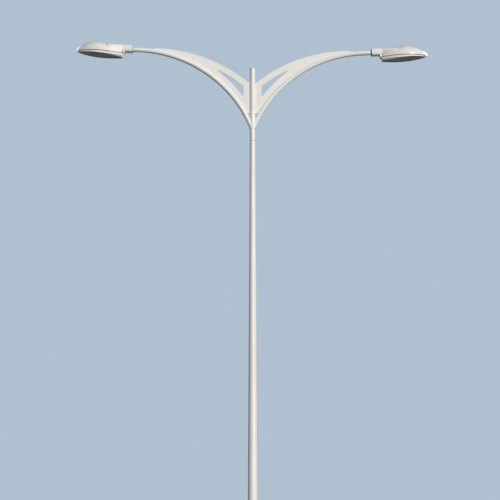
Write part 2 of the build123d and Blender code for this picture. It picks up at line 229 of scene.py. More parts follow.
# %% [markdown]
# ## Two suns
#
# A low, slightly soft sun comes from the right and in front. It puts the pole's left flank in shade and the pole's
# shadow on the left-hand web. A weaker one from behind keeps the far side readable. Mirrors don't see that second
# one, or every bright part would show two highlights.

# %% Sun in front and a weaker one behind
def sun(name, azimuth, elevation, strength, softness, colour):
    """A sun seen from the column at an azimuth (0 is behind the camera, 90 to the right) and an elevation."""
    data = bpy.data.lights.new(name, "SUN")
    data.energy = strength
    data.angle = radians(softness)
    data.color = colour
    lamp = bpy.data.objects.new(name, data)
    a, e = radians(azimuth), radians(elevation)
    towards = Vector((sin(a) * cos(e), -cos(a) * cos(e), sin(e)))
    lamp.rotation_euler = towards.to_track_quat("Z", "Y").to_euler()
    bpy.context.scene.collection.objects.link(lamp)
    return lamp


key = sun("key", 31, 17, 2.55, 4, (1.0, 0.975, 0.945))
back = sun("back", 183, 20, 1.3, 12, (0.93, 0.96, 1.0))
back.visible_glossy = False
print("suns", key.data.energy, back.data.energy)

# %% [markdown]
# ## Floor
#
# The floor is a wide disc just under the base plate. Eye and mirror see it pale, in the backdrop's colour, so the
# horizon all but vanishes. For the light that it bounces up it is as dark as a road. It keeps the column's shadow.

# %% Floor
FLOOR_RADIUS, FLOOR_GAP = 600, 0.002
floor_mesh = bpy.data.meshes.new("floor")
disc = bmesh.new()
bmesh.ops.create_circle(disc, cap_ends=True, segments=96, radius=FLOOR_RADIUS)
disc.to_mesh(floor_mesh)
disc.free()
floor = bpy.data.objects.new("floor", floor_mesh)
floor.location.z = -FLOOR_GAP
bpy.context.scene.collection.objects.link(floor)
floor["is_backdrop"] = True

floor_material = bpy.data.materials.new("floor")
floor_material.use_nodes = True
floor_material.node_tree.nodes.clear()
ground = Nodes(floor_material.node_tree)
pale = ground.node("ShaderNodeBsdfDiffuse", None, {"Color": rgb(224, 240, 255)})
dark = ground.node("ShaderNodeBsdfDiffuse", None, {"Color": rgb(84, 80, 74)})
both = ground.node("ShaderNodeMixShader", None, {0: seen(ground), 1: dark, 2: pale})
floor_output = floor_material.node_tree.nodes.new("ShaderNodeOutputMaterial")
connect(both, floor_output.inputs["Surface"])
floor_mesh.materials.append(floor_material)
print("floor", FLOOR_RADIUS, "m all round")

# %% [markdown]
# ## The start of every finish
#
# Each finish begins with the same surface shader. Values that are the same all over go straight onto its sockets.
# Relief comes from a height that bends the normal. A Bevel node under it rounds every hard edge by about a
# millimetre in the shading, because no edge on a painted or cast part is knife-sharp, and it costs no faces.

# %% A material and its relief
EDGE_ROUNDING = 0.0012


def new_finish(name, **constants):
    """A material with the surface shader's fixed values set; gives it and the helper for its nodes."""
    material = bpy.data.materials.new(name)
    material.use_nodes = True
    surface = material.node_tree.nodes["Principled BSDF"]
    for socket, value in constants.items():
        surface.inputs[socket.replace("_", " ")].default_value = value
    return material, Nodes(material.node_tree), surface.inputs


def bumped(tree, height, distance, strength=1.0):
    """A normal that follows a height, in metres at height 1, over edges rounded by a hair."""
    edge = tree.node("ShaderNodeBevel", {"samples": 4}, {"Radius": EDGE_ROUNDING})
    values = {"Height": height, "Distance": distance, "Strength": strength, "Normal": edge}
    return tree.node("ShaderNodeBump", None, values)


# %% [markdown]
# ## Paint
#
# Pole, webs and arms are galvanized steel with a sprayed coat of white. Seen close, such paint isn't one flat
# colour: it has a faint orange peel, broad patches that weathered a little differently, streaks where rain runs
# down from joints, and dust on whatever faces up. Each of these is a noise at its own scale. The two coats differ
# in tint and gloss: the arms' tubes are a cooler and glossier white than the plates.

# %% A painted finish
def painted(name, light, dark, roughness, grime, dust=0.25):
    """Sprayed paint that has stood in the rain."""
    material, tree, surface = new_finish(name, IOR=1.5)
    broad = tree.peaks(tree.noise(0.7, 3), 0.3, 0.7)
    runs = tree.peaks(tree.noise(0.035, 3, (1, 1, 0.025)), 0.52, 0.74)
    fine = tree.noise(0.0035, 1)
    facing_up_mask = tree.peaks(tree.upward(), 0.35, 0.95) * tree.noise(0.04, 4)
    clean = tree.mix(broad, light, dark)
    streaked = tree.mix(runs * grime, clean, rgb(150, 143, 132))
    dusty = tree.mix(facing_up_mask * dust, streaked, rgb(140, 132, 118))
    connect(dusty, surface["Base Color"])
    connect(roughness + broad * 0.06 + runs * 0.12 + facing_up_mask * 0.2, surface["Roughness"])
    connect(bumped(tree, fine, 0.00012, 0.6), surface["Normal"])
    return material


white_paint = painted("white_paint", rgb(247, 244, 239), rgb(242, 238, 232), 0.38, grime=0.07)
arm_paint = painted("arm_paint", rgb(246, 247, 246), rgb(241, 242, 242), 0.24, grime=0.05)
print("paints", white_paint.name, arm_paint.name)

# %% [markdown]
# ## Cast and pressed lantern shells
#
# The gear housing and the lens frame are die-cast aluminium, the canopy is pressed from sheet. All are sprayed
# light grey. A casting keeps a fine pitted skin under its paint, which a small Voronoi pattern gives; the pressed
# canopy is smoother and glossier. On top the shells are painted greyer, partly dust and partly painted shade.

# %% Lantern shell finishes
def shell(name, light, dark, roughness, pits):
    """Grey paint on a lantern's shell; pits is the depth of the casting's skin in metres."""
    material, tree, surface = new_finish(name, IOR=1.48)
    cloudy = tree.peaks(tree.noise(0.11, 4), 0.32, 0.72)
    runs = tree.peaks(tree.noise(0.012, 3, (1, 1, 0.12)), 0.55, 0.78)
    skin = tree.node("ShaderNodeTexVoronoi", None, {"Vector": tree.place(), "Scale": 420.0})
    # Painted shade: faces that point up are mixed towards a grey film, partly dust, partly the shade a low light
    # leaves on tops.
    facing_up_mask = tree.peaks(tree.upward(), 0.25, 0.95)
    plain = tree.mix(cloudy, light, dark)
    dust_and_painted_top_shade = tree.mix(facing_up_mask * 0.5, plain, rgb(150, 147, 142))
    streaked = tree.mix(runs * 0.12, dust_and_painted_top_shade, rgb(120, 114, 104))
    connect(streaked, surface["Base Color"])
    connect(roughness + cloudy * 0.08 + facing_up_mask * 0.15 + runs * 0.1, surface["Roughness"])
    connect(bumped(tree, skin, pits, 0.5), surface["Normal"])
    return material


cast_grey = shell("cast_grey", rgb(245, 242, 238), rgb(238, 234, 229), 0.46, 0.00025)
canopy_grey = shell("canopy_grey", rgb(242, 239, 235), rgb(234, 230, 226), 0.3, 0.00006)
print("shells", cast_grey.name, canopy_grey.name)

# %% [markdown]
# ## Galvanized steel
#
# The base plate, gussets, spigot, door frame and gear tray are dipped in zinc and not painted. Zinc freezes in flat
# crystals, called spangle, each of which mirrors the light a little differently. A Voronoi pattern gives one random
# shade for each crystal, which goes into both colour and roughness.

# %% Galvanized finish
def galvanized_finish(name):
    """Zinc with its crystals and a paler bloom where it weathered."""
    material, tree, surface = new_finish(name, Metallic=0.75)
    crystal = tree.node("ShaderNodeTexVoronoi", None, {"Vector": tree.place(), "Scale": 110.0}, "Color")
    shade = tree.node("ShaderNodeSeparateXYZ", None, {0: crystal})
    bloom = tree.peaks(tree.noise(0.05, 4), 0.45, 0.75)
    zinc = tree.mix(shade, rgb(158, 162, 165), rgb(182, 186, 188))
    weathered = tree.mix(bloom * 0.6, zinc, rgb(190, 190, 186))
    connect(weathered, surface["Base Color"])
    connect(0.36 + shade * 0.14 + bloom * 0.22, surface["Roughness"])
    connect(bumped(tree, shade, 0.00006, 0.5), surface["Normal"])
    return material


galvanized = galvanized_finish("galvanized")
print("zinc", len(galvanized.node_tree.nodes), "nodes")

# %% [markdown]
# ## Bright metal
#
# The spring clips, hinge pins and screws are bright stainless steel, brushed along one direction. A noise squeezed
# hard along that direction gives the lines, in roughness and relief alike.

# %% Brushed finish
def brushed(name, light, dark, squeeze, roughness):
    """Bright metal brushed along the axis that the squeeze leaves long."""
    material, tree, surface = new_finish(name, Metallic=1.0)
    lines = tree.noise(0.0009, 2, squeeze)
    patches = tree.peaks(tree.noise(0.02, 3), 0.4, 0.7)
    connect(tree.mix(patches, light, dark), surface["Base Color"])
    connect(roughness + lines * 0.18 + patches * 0.08, surface["Roughness"])
    connect(bumped(tree, lines, 0.00004, 0.4), surface["Normal"])
    return material


bright_metal = brushed("bright_metal", rgb(236, 241, 246), rgb(218, 225, 231), (1, 1, 0.02), 0.3)
print("metal", bright_metal.name)

# %% [markdown]
# ## Rubber, porcelain and plastic
#
# Three small materials need the same few nodes: two close shades in patches, and a fine grain. Rubber is nearly
# black with a dry bloom. Porcelain is glazed, so it is smooth with a faint waviness under a clear coat. The cap on
# the bracket's upright is moulded plastic with a fine spark-eroded grain.

# %% Mottled finishes
def mottled(name, light, dark, roughness, grain, depth, **constants):
    """One material in two close shades, with a fine grain."""
    material, tree, surface = new_finish(name, **constants)
    patches = tree.peaks(tree.noise(0.03, 4), 0.35, 0.7)
    texture = tree.noise(grain, 2)
    connect(tree.mix(patches, light, dark), surface["Base Color"])
    connect(roughness + patches * 0.12, surface["Roughness"])
    connect(bumped(tree, texture, depth, 0.5), surface["Normal"])
    return material


rubber = mottled("rubber", rgb(38, 38, 40), rgb(56, 56, 56), 0.62, 0.0008, 0.00008)
porcelain = mottled("porcelain", rgb(234, 231, 222), rgb(226, 221, 210), 0.12, 0.006, 0.0001, Coat_Weight=0.6)
cap_plastic = mottled("cap_plastic", rgb(226, 226, 224), rgb(212, 212, 210), 0.45, 0.0006, 0.00008)
print("small finishes", rubber.name, porcelain.name, cap_plastic.name)

# %% [markdown]
# ## Reflector
#
# The reflector is bright-anodized aluminium, pressed with hundreds of small dimples that spread the lamp's light.
# The dimples are a smooth Voronoi distance used as a height: real in the highlights, and far cheaper than a mesh.

# %% Reflector finish
def reflector_finish(name):
    """Dimpled mirror metal with a thin haze."""
    material, tree, surface = new_finish(name, Metallic=1.0)
    values = {"Vector": tree.place(), "Scale": 70.0, "Smoothness": 0.6}
    dimple = tree.node("ShaderNodeTexVoronoi", {"feature": "SMOOTH_F1"}, values)
    haze = tree.peaks(tree.noise(0.04, 3), 0.4, 0.75)
    connect(tree.mix(haze, rgb(206, 204, 198), rgb(176, 172, 160)), surface["Base Color"])
    connect(0.12 + haze * 0.2, surface["Roughness"])
    connect(bumped(tree, dimple, 0.0016, 0.7), surface["Normal"])
    return material


reflector_metal = reflector_finish("reflector")
print("reflector", len(reflector_metal.node_tree.nodes), "nodes")

# %% [markdown]
# ## Glass
#
# From below, a road lantern's pane looks dark with a hint of brown: one sees the dim inside through it, and the
# glass mirrors the dark ground. That brown is painted into the pane's colour, as a painted reflection of the
# ground, with patches of dust on it. A real refracting glass would be slow and noisy here, so the pane is a dark
# glossy surface that lets part of the view through. Its edge-on parts let through less, which a Layer Weight gives.
# The dust also dulls its mirror. The lamp's bulb is the same idea, but clear.

# %% Glass finishes
def pane(name, light, dark, least, most, roughness, shine=0.5):
    """Glass as a glossy film: it hides least where seen square on and most where seen edge-on."""
    material, tree, surface = new_finish(name, IOR=1.45, Roughness=roughness, Specular_IOR_Level=shine)
    slant = tree.node("ShaderNodeLayerWeight", None, {"Blend": 0.35}, "Facing")
    film = tree.peaks(tree.noise(0.06, 4), 0.38, 0.72)
    connect(tree.mix(film, light, dark), surface["Base Color"])
    connect(least + slant * (most - least) + film * 0.08, surface["Alpha"])
    connect(roughness + film * 0.1, surface["Roughness"])
    material.surface_render_method = "BLENDED"
    return material


# Painted reflection: the lens pane's brown stands for the dark ground that the glass mirrors, with dust in patches.
lens_glass = pane("lens_glass", rgb(112, 84, 26), rgb(136, 102, 40), 0.5, 0.86, 0.12, shine=0.15)
bulb_glass = pane("bulb_glass", rgb(226, 230, 228), rgb(214, 216, 210), 0.12, 0.7, 0.04)
print("glass", lens_glass.name, bulb_glass.name)

# %% [markdown]
# ## Put the finishes on the solids
#
# Every solid already has one material slot. A finish is assigned to that slot, so the mesh stays as it came.

# %% Assign the finishes
def dress(node, material):
    """Gives a solid its finish."""
    mesh = nodes[node].data
    for place in range(len(mesh.materials)):
        mesh.materials[place] = material


single = {
    "base_plate": galvanized, "base_gussets": galvanized, "shaft": white_paint, "door_frame": galvanized,
    "access_door": white_paint, "top_spigot": galvanized, "joint_seal": rubber, "bracket_tube": white_paint,
    "bracket_cap": cap_plastic,
}
# collar_ring wears the dark rubber, so the collar's end shows a dark ring: painted shade where that end face is in
# shade.
paired = {
    "arm": arm_paint, "web": white_paint, "canopy": canopy_grey, "gear_housing": cast_grey,
    "gear_tray": galvanized, "collar_ring": rubber, "lens_frame": cast_grey, "lens_glass": lens_glass,
    "frame_seal": rubber, "hinge_pin": bright_metal, "lampholder": porcelain, "lamp": bulb_glass,
    "reflector": reflector_metal, "clip": bright_metal,
}
for node, material in single.items():
    dress(node, material)
for side in ("left", "right"):
    for node, material in paired.items():
        dress(f"{side}_{node}", material)
print("dressed", len(single) + 2 * len(paired), "of", len(nodes))

# %% [markdown]
# ## A mesh built from rings
#
# The pole's sheet, weld beads, screws and lamp parts are all rows of points with a skin between them. One small
# class collects such rows and builds one object from all that it holds. Points that fall together are merged, so
# patches made one by one close up. What lies on an arm or a lantern is made once, for the right-hand side, and
# built twice, the second time mirrored.

# %% Rings and patches
class Rings:
    """Collects skinned rows of rings, in metres, and makes them one piece."""

    def __init__(self):
        self.points = []
        self.faces = []

    def skin(self, rings, around=False, ends=True):
        """Joins equal rings with quads; the ends are closed unless told not to or the row runs into itself."""
        start, count = len(self.points), len(rings[0])
        self.points += [point for ring in rings for point in ring]
        pairs = [(i, i + 1) for i in range(len(rings) - 1)]
        if around:
            pairs.append((len(rings) - 1, 0))
        for first, second in pairs:
            for i in range(count):
                j = (i + 1) % count
                a, b = start + first * count, start + second * count
                self.faces.append((a + i, a + j, b + j, b + i))
        if ends and not around:
            last = start + (len(rings) - 1) * count
            self.faces.append(tuple(range(start, start + count)))
            self.faces.append(tuple(range(last, last + count)))

    def spread(self, rows):
        """Joins equal open rows of points with quads."""
        start, count = len(self.points), len(rows[0])
        self.points += [point for row in rows for point in row]
        for i in range(len(rows) - 1):
            for j in range(count - 1):
                a = start + i * count + j
                self.faces.append((a, a + 1, a + count + 1, a + count))

    def build(self, name, material, body, slot, mirrored=False):
        """Makes the piece; a mirrored one lies on the column's other side."""
        flip = -1 if mirrored else 1
        mesh = bpy.data.meshes.new(name)
        mesh.from_pydata([(flip * p[0], p[1], p[2]) for p in self.points], [], self.faces)
        tidy = bmesh.new()
        tidy.from_mesh(mesh)
        bmesh.ops.remove_doubles(tidy, verts=tidy.verts, dist=1e-6)
        bmesh.ops.recalc_face_normals(tidy, faces=tidy.faces)
        tidy.to_mesh(mesh)
        tidy.free()
        mesh.materials.append(material)
        mesh.shade_smooth()
        mesh.set_sharp_from_angle(angle=radians(40))
        piece = bpy.data.objects.new(name, mesh)
        bpy.context.scene.collection.objects.link(piece)
        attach(piece, body)
        return piece


def both_sides(rings, name, material, body, slot):
    """The piece on the right-hand lantern or arm, and its mirror image on the left."""
    for side in ("right", "left"):
        rings.build(f"{side}_{name}", material, body.replace("SIDE", side), slot, mirrored=side == "left")


# %% [markdown]
# ## The pole as a clean mesh
#
# The pole is a cone rolled from sheet, with an opening for its door. The mesh that comes with the solid is cut
# into long thin triangles, and beside the opening's corners some of them fold over each other, which shows as dark
# leaves in the paint. So the pole gets a mesh of its own, in the same place and size. A cone is straight along its
# length, so it needs few rows, but around the door the quads run in rings, from the opening's edge out to the
# grid. A Boolean cut would be shorter, but the odd-shaped faces that it leaves shade badly on a curve.

# %% The opening's edge and the frame around it
POLE_LOW, POLE_HIGH, WALL = 0.025, 8.75, 0.004
DOOR_LOW, DOOR_HIGH, DOOR_HALF, DOOR_CORNER = 0.6, 1.02, 0.046, 0.03
ZONE_MARGIN, ZONE_TURN = 0.09, radians(66)
ZONE_LOW, ZONE_HIGH = DOOR_LOW - ZONE_MARGIN, DOOR_HIGH + ZONE_MARGIN
CORNER_STEPS, ACROSS_STEPS, UP_STEPS, BACK_STEPS = 6, 16, 24, 48


def between(first, last, share):
    """The point this far on from the first to the last."""
    return tuple(a + (b - a) * share for a, b in zip(first, last))


def opening_edge():
    """The door's opening as seen from the front: x and z, clockwise from the middle of the top left corner."""
    x, low, high = DOOR_HALF - DOOR_CORNER, DOOR_LOW + DOOR_CORNER, DOOR_HIGH - DOOR_CORNER
    centres = [(-x, high), (x, high), (x, low), (-x, low), (-x, high)]
    edge = []
    for side in range(4):
        facing = 90 - 90 * side
        row = [(centres[side], 45 - 45 * i / CORNER_STEPS) for i in range(CORNER_STEPS)]
        steps = UP_STEPS if side % 2 else ACROSS_STEPS
        row += [(between(centres[side], centres[side + 1], i / steps), 0) for i in range(steps)]
        row += [(centres[side + 1], -45 * i / CORNER_STEPS) for i in range(CORNER_STEPS)]
        for centre, more in row:
            a = radians(facing + more)
            edge.append((centre[0] + DOOR_CORNER * cos(a), centre[1] + DOOR_CORNER * sin(a)))
    return edge


def zone_edge():
    """A rectangle around it, as turn and height, with one point for each point of the opening."""
    t = ZONE_TURN
    corners = [(-t, ZONE_HIGH), (t, ZONE_HIGH), (t, ZONE_LOW), (-t, ZONE_LOW), (-t, ZONE_HIGH)]
    edge = []
    for side in range(4):
        steps = 2 * CORNER_STEPS + (UP_STEPS if side % 2 else ACROSS_STEPS)
        edge += [between(corners[side], corners[side + 1], i / steps) for i in range(steps)]
    return edge


print("points around the door", len(opening_edge()), len(zone_edge()))

# %% [markdown]
# ## From turns and heights to the cone
#
# The sheet's points are easy to give as a turn round the pole and a height. These functions bring them onto the
# cone's outer or inner face. A ring around the door is a mix of two rows of points, the opening's edge and the
# rectangle, so that it changes shape smoothly on its way out.

# %% Points on the pole
POLE_TOP_D, POLE_TAPER = 0.072, 0.0106


def pole_r(z):
    """Outer radius of the pole at a height."""
    return (POLE_TOP_D + POLE_TAPER * (POLE_HIGH - z)) / 2


def on_pole(turn, z, deep):
    """A point turned this far round from the front, this deep under the pole's outer face."""
    r = pole_r(z) - deep
    return (r * sin(turn), -r * cos(turn), z)


def door_ring(share, deep):
    """A ring around the door: at the opening's edge with share 0, at the rectangle with share 1."""
    ring = []
    for (x, z), far in zip(opening_edge(), zone_edge()):
        near = (asin(x / (pole_r(z) - deep)), z)
        ring.append(on_pole(*between(near, far, share), deep))
    return ring


print("pole", round(2 * pole_r(POLE_LOW), 4), "m across at the foot,", 2 * pole_r(POLE_HIGH), "m at the top")

# %% [markdown]
# ## Join the patches
#
# Four patches make the sheet: rings around the door, which also cross the sheet's thickness, the back at the same
# heights, and the pole below and above. They share their border points, so merging leaves one closed skin. An edge
# that has no face on one of its sides would be a hole, so those are counted.

# %% The pole's sheet
front_steps = 2 * CORNER_STEPS + ACROSS_STEPS
front_turns = [-ZONE_TURN + 2 * ZONE_TURN * i / front_steps for i in range(front_steps)]
back_turns = [ZONE_TURN + 2 * (pi - ZONE_TURN) * i / BACK_STEPS for i in range(BACK_STEPS + 1)]
side_steps = 2 * CORNER_STEPS + UP_STEPS
END_STEPS = 12


def full_ring(z, deep):
    """A ring all round the pole at a height, its points in line with both patches beside the door."""
    return [on_pole(turn, z, deep) for turn in front_turns + back_turns[:-1]]


shares = (1, 0.72, 0.48, 0.28, 0.13, 0.04, 0)
sheet = Rings()
sheet.skin([door_ring(s, 0) for s in shares] + [door_ring(s, WALL) for s in reversed(shares)], ends=False)
for deep in (0, WALL):
    heights = [ZONE_LOW + (ZONE_HIGH - ZONE_LOW) * i / side_steps for i in range(side_steps + 1)]
    sheet.spread([[on_pole(turn, z, deep) for turn in back_turns] for z in heights])
for end, near in ((POLE_LOW, ZONE_LOW), (POLE_HIGH, ZONE_HIGH)):
    heights = [near + (end - near) * i / END_STEPS for i in range(END_STEPS + 1)]
    sheet.skin([full_ring(z, 0) for z in heights] + [full_ring(z, WALL) for z in reversed(heights)], ends=False)
pole = sheet.build("pole_sheet", white_paint, "column", "white_paint")
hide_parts("shaft")
check = bmesh.new()
check.from_mesh(pole.data)
print("pole sheet", len(check.faces), "faces, open edges", sum(not edge.is_manifold for edge in check.edges))
check.free()

# %% [markdown]
# ## A weld bead
#
# The bracket and the foot are welding jobs. A bead of weld is a round strand that swells a little wherever a drop
# of metal froze. A bevelled curve would make the strand, but not its ripple. So rings are set along a path of close
# points, their size swings as the path runs on, and each ring keeps as near as it can to the way the last one lay.

# %% Rings along a path
def bead(path, radius, closed=False, count=8, ripple=0.14, pitch=0.007):
    """The rings of a weld bead along a path of close points."""
    path = [Vector(point) for point in path]
    rings, run, side = [], 0, Vector((0, 0, 1))
    for i, here in enumerate(path):
        ahead = path[(i + 1) % len(path)] if closed or i + 1 < len(path) else here
        behind = path[i - 1] if closed or i else here
        along = (ahead - behind).normalized()
        side = side - along * side.dot(along)
        if side.length < 1e-6:
            side = along.orthogonal()
        side.normalize()
        other = along.cross(side)
        size = radius * (1 + ripple * sin(2 * pi * run / pitch))
        angles = [2 * pi * k / count for k in range(count)]
        rings.append([here + (side * cos(a) + other * sin(a)) * size for a in angles])
        run += (ahead - here).length
    return rings


# %% [markdown]
# ## Beads on the webs
#
# Each web is welded to its arm and to the upright, on both faces. A bead sits in the corner between two parts, so
# its path is worked out from the parts' own sizes: an arc beside the arm, and a straight line beside the upright.

# %% Web beads
ARM_CENTRE, ARM_REACH, ARM_R = (1.561, 8.309), 1.67, 0.03
WEB_CENTRE, WEB_REACH, WEB_HALF, WEB_FOOT = (1.306, 8.055), 1.949, 0.004, 9.13
TUBE_R, WEB_BEAD_R, BEAD_STEP, PROUD, TIP_GAP = 0.035, 0.0032, 0.0025, 0.001, 0.004
BEND_FROM, BEND_SPAN, BEND_STEPS = radians(165), radians(80), 900


def arm_line(offset, y):
    """Points beside the arm's bend, where the web runs."""
    reach = ARM_REACH + offset
    points = []
    for i in range(BEND_STEPS):
        angle = BEND_FROM - BEND_SPAN * i / BEND_STEPS
        x, z = ARM_CENTRE[0] + reach * cos(angle), ARM_CENTRE[1] + reach * sin(angle)
        inside = hypot(x - WEB_CENTRE[0], z - WEB_CENTRE[1]) < WEB_REACH - TIP_GAP
        if inside and z > WEB_FOOT and x > TUBE_R:
            points.append((x, y, z))
    return points


arm_seat = sqrt(ARM_R**2 - WEB_HALF**2)
upright_seat = sqrt(TUBE_R**2 - WEB_HALF**2)
web_top = WEB_CENTRE[1] + sqrt(WEB_REACH**2 - (WEB_CENTRE[0] - TUBE_R) ** 2)
web_beads = Rings()
for face in (-1, 1):
    y = face * (WEB_HALF + PROUD)
    web_beads.skin(bead(arm_line(arm_seat + PROUD, y), WEB_BEAD_R))
    steps = int((web_top - WEB_FOOT) / BEAD_STEP)
    line = [(upright_seat + PROUD, y, WEB_FOOT + BEAD_STEP * i) for i in range(steps)]
    web_beads.skin(bead(line, WEB_BEAD_R))
both_sides(web_beads, "web_welds", white_paint, "column", "white_paint")
print("web beads", len(web_beads.points), "points a side")

# %% [markdown]
# ## The bead round each arm's foot
#
# A round arm meets a round upright along a saddle-shaped curve. For each place round the arm, how far it lies to
# the front or back gives how far out the upright's face is there, and the arm's bend gives the level at which the
# arm gets there.

# %% Arm beads
ARM_BEAD_R, SADDLE_STEPS, SADDLE_SPREAD = 0.0038, 320, 1.03
saddle = []
for i in range(SADDLE_STEPS):
    turn = 2 * pi * i / SADDLE_STEPS
    y = ARM_R * sin(turn)
    x = sqrt(TUBE_R**2 - y**2)
    reach = ARM_REACH + ARM_R * cos(turn)
    level = ARM_CENTRE[1] + sqrt(reach**2 - (ARM_CENTRE[0] - x) ** 2)
    saddle.append((x + PROUD, y * SADDLE_SPREAD, level))
arm_beads = Rings()
arm_beads.skin(bead(saddle, ARM_BEAD_R, closed=True, ripple=0.07), around=True)
both_sides(arm_beads, "arm_weld", arm_paint, "column", "arm_paint")
print("arm bead", len(arm_beads.points), "points a side")

# %% [markdown]
# ## Beads at the foot
#
# The pole is welded to its plate all round, and each of the four gussets has a bead along both feet and both
# upright edges. One gusset's paths are made and then turned by quarters.

# %% Foot beads
GUSSET_H, GUSSET_REACH, GUSSET_HALF = 0.14, 0.075, 0.006
POLE_BEAD_R, GUSSET_BEAD_R, RIM_STEPS = 0.0045, 0.0035, 260
foot_r = pole_r(POLE_LOW) + PROUD
rim = [2 * pi * i / RIM_STEPS for i in range(RIM_STEPS)]
foot_beads = Rings()
foot_path = [(foot_r * cos(a), foot_r * sin(a), POLE_LOW + PROUD) for a in rim]
foot_beads.skin(bead(foot_path, POLE_BEAD_R, closed=True), around=True)
for quarter in range(4):
    turn = Matrix.Rotation(radians(90 * quarter), 3, "Z")
    for face in (-1, 1):
        y = face * (GUSSET_HALF + PROUD)
        runs = [BEAD_STEP * i for i in range(int(GUSSET_REACH / BEAD_STEP))]
        rises = [BEAD_STEP * i for i in range(int(GUSSET_H / BEAD_STEP))]
        outward = [(foot_r + run, y, POLE_LOW + PROUD) for run in runs]
        upward = [(pole_r(POLE_LOW + rise) + PROUD, y, POLE_LOW + rise) for rise in rises]
        foot_beads.skin(bead([turn @ Vector(p) for p in outward], GUSSET_BEAD_R))
        foot_beads.skin(bead([turn @ Vector(p) for p in upward], GUSSET_BEAD_R))
foot_beads.build("base_welds", galvanized, "column", "galvanized")
print("foot beads", len(foot_beads.points), "points")

# %% [markdown]
# ## The pole's long seam
#
# A pole that is rolled from sheet has one long seam, here on the side away from the door. It is ground nearly
# flush and only just shows, so its strand lies mostly inside the pole and hardly ripples.

# %% Seam
SEAM_R, SEAM_SUNK, POINTS_PER_METRE = 0.0022, 0.0012, 100
seam_heights = [i / POINTS_PER_METRE for i in range(3, int(POLE_HIGH * POINTS_PER_METRE))]
seam_path = [(0, pole_r(z) - SEAM_SUNK, z) for z in seam_heights]
seam = Rings()
seam.skin(bead(seam_path, SEAM_R, count=6, ripple=0.05, pitch=0.4))
seam.build("pole_seam", white_paint, "column", "white_paint")
print("seam", round(seam_heights[-1] - seam_heights[0], 2), "m long")

# %% [markdown]
# ## Turned parts
#
# Screws, bolts and the lamp's cap are turned on a lathe, so each is a row of circles on one axis. A ring's corners
# can be pulled onto a polygon, which turns a disc into a hexagon head or a recess for a key. That is why they are
# made from rings and not with Blender's Screw modifier, which only turns round shapes.

# %% Rings on an axis
def turned(profile, centre, axis, count=24):
    """The rings of a turned part: rows of (radius, height, corners), heights along the axis from the centre."""
    lathe = Vector(axis).to_track_quat("Z", "Y").to_matrix()
    rings = []
    for radius, height, corners in profile:
        ring = []
        for i in range(count):
            angle = 2 * pi * i / count
            reach = radius
            if corners:
                part = 2 * pi / corners
                reach = radius * cos(part / 2) / cos(angle % part - part / 2)
            ring.append(Vector(centre) + lathe @ Vector((reach * cos(angle), reach * sin(angle), height)))
        rings.append(ring)
    return rings


# %% [markdown]
# ## Screws on the pole
#
# Two lock screws hold the door, each with a three-sided recess for a key. Set screws in two rows of three clamp the
# bracket on its spigot. A recess is a ring that steps down inside the head.

# %% Lock screws and set screws
def lock_screw(radius):
    """A flanged head with a three-cornered recess."""
    return [(radius, -0.006, 0), (radius, 0.001, 0), (radius * 0.94, 0.002, 0), (radius * 0.68, 0.002, 0),
            (radius * 0.6, 0.003, 0), (radius * 0.52, 0.003, 3), (radius * 0.5, -0.002, 3)]


def set_screw(radius):
    """A domed head with a six-sided recess."""
    return [(radius, -0.004, 0), (radius, 0.002, 0), (radius * 0.86, 0.0038, 0), (radius * 0.62, 0.0044, 0),
            (radius * 0.55, 0.0044, 6), (radius * 0.53, 0.001, 6)]


LOCK_INSET, LOCK_R = 0.045, 0.011
locks = Rings()
for height in (DOOR_LOW + LOCK_INSET, DOOR_HIGH - LOCK_INSET):
    locks.skin(turned(lock_screw(LOCK_R), (0, -pole_r(height), height), (0, -1, 0)))
locks.build("door_locks", bright_metal, "column", "bright_metal")

SET_SCREW_R, SET_SCREW_HEIGHTS, SET_SCREW_TURNS = 0.0075, (8.8, 8.86), (30, 150, 270)
set_screws = Rings()
for height in SET_SCREW_HEIGHTS:
    for turn in SET_SCREW_TURNS:
        out = Vector((cos(radians(turn)), sin(radians(turn)), 0))
        set_screws.skin(turned(set_screw(SET_SCREW_R), out * TUBE_R + Vector((0, 0, height)), out))
set_screws.build("bracket_set_screws", bright_metal, "column", "bright_metal")
print("set screws", len(SET_SCREW_HEIGHTS) * len(SET_SCREW_TURNS))

# %% [markdown]
# ## The lantern's own axes
#
# The lanterns tilt up by three degrees with their arms. Everything on them is easier to place in the lantern's
# own frame: x along the arm from the collar's face, z square to it, in millimetres. One function turns that into
# the column's frame.

# %% Points on the right-hand lantern
TILT = radians(3)
ALONG = Vector((cos(TILT), 0, sin(TILT)))
SQUARE = Vector((-sin(TILT), 0, cos(TILT)))
BEND_END = Vector((ARM_CENTRE[0] - ARM_REACH * sin(TILT), 0, ARM_CENTRE[1] + ARM_REACH * cos(TILT)))
COLLAR_X = 1.588
COLLAR = BEND_END + ALONG * ((COLLAR_X - BEND_END.x) / cos(TILT))


def spot(x, y, z):
    """A point of the right-hand lantern, given in millimetres."""
    return COLLAR + ALONG * (x / 1000) + SQUARE * (z / 1000) + Vector((0, y / 1000, 0))


print("collar", tuple(round(c, 4) for c in COLLAR))

# %% [markdown]
# ## Screws on the lanterns
#
# Two hexagon bolts under each collar clamp the lantern on its arm, four screws hold the gear tray, and a ring on
# each end of the hinge pin keeps it in its lugs.

# %% Clamp bolts, tray screws and pin rings
def hexagon_bolt(across, head, washer_t=0.0016):
    """A washer and a chamfered hexagon head."""
    r = across / sqrt(3)
    return [(r * 1.35, 0, 0), (r * 1.35, washer_t, 0), (r * 0.96, washer_t, 0), (r, washer_t, 6),
            (r, washer_t + head * 0.82, 6), (r * 0.84, washer_t + head, 0), (r * 0.3, washer_t + head, 0)]


